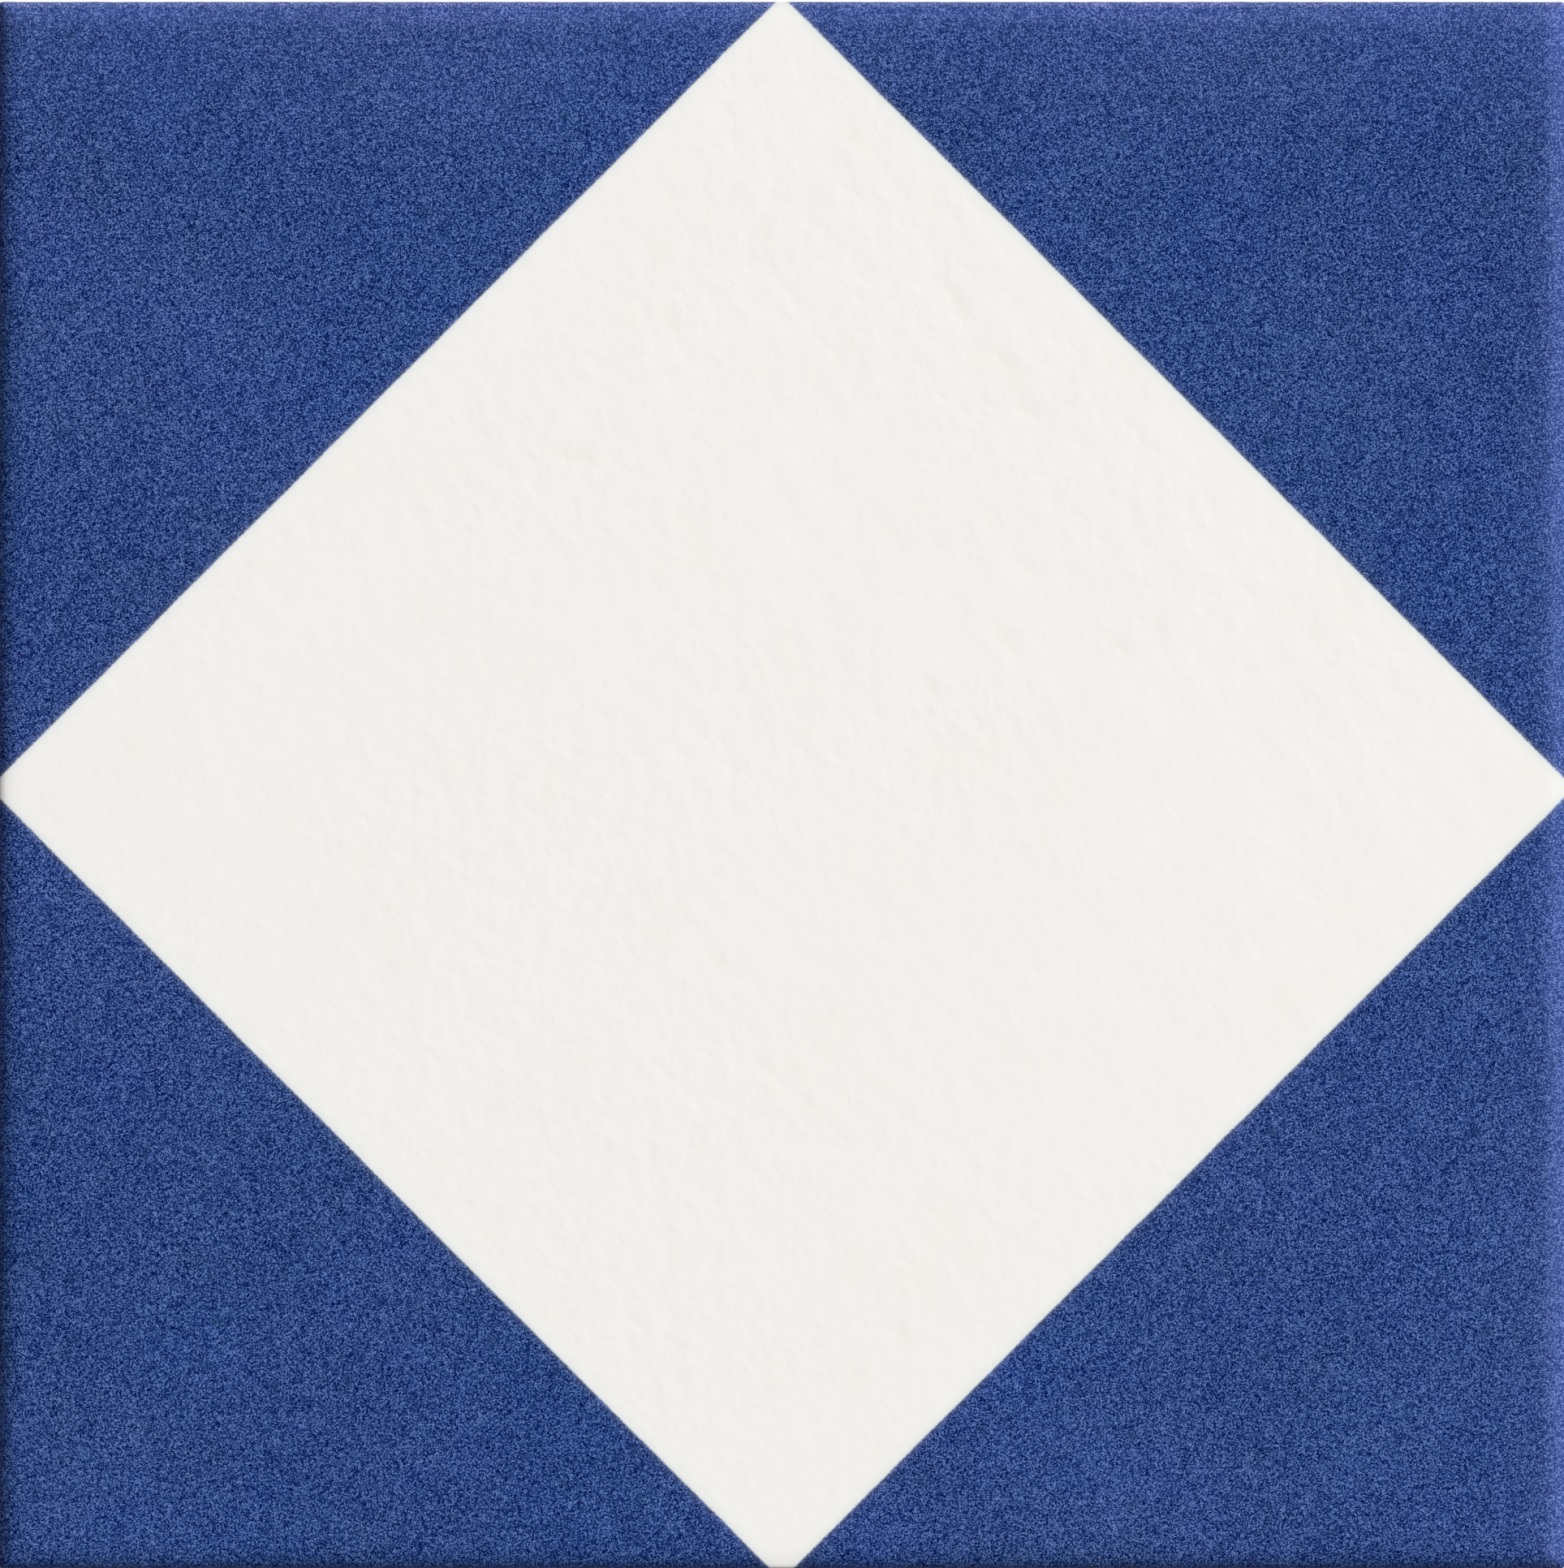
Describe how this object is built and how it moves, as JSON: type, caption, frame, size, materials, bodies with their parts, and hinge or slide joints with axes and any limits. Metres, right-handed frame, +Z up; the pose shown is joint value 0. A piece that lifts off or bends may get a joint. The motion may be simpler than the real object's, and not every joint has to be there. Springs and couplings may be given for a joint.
{
  "type": "field tile",
  "caption": "Square pressed ceramic field tile with a satin glazed face, a pale diamond on blue corners, softly rounded edges and a ribbed back for bedding on a floor or wall.",
  "frame": {"origin": "middle of the back, on the plane of its ribs, at the crossing of the two middle ribs", "axes": "+Z up out of the glazed face, +X and +Y along the sides, which are alike"},
  "size_m": [0.2, 0.2, 0.0085],
  "materials": {
    "glazed_tile": "satin glaze, off-white diamond on stippled cobalt blue corners, unglazed buff body on the walls and back"
  },
  "bodies": {
    "root": {"field_tile": "glazed_tile"}
  },
  "joints": []
}
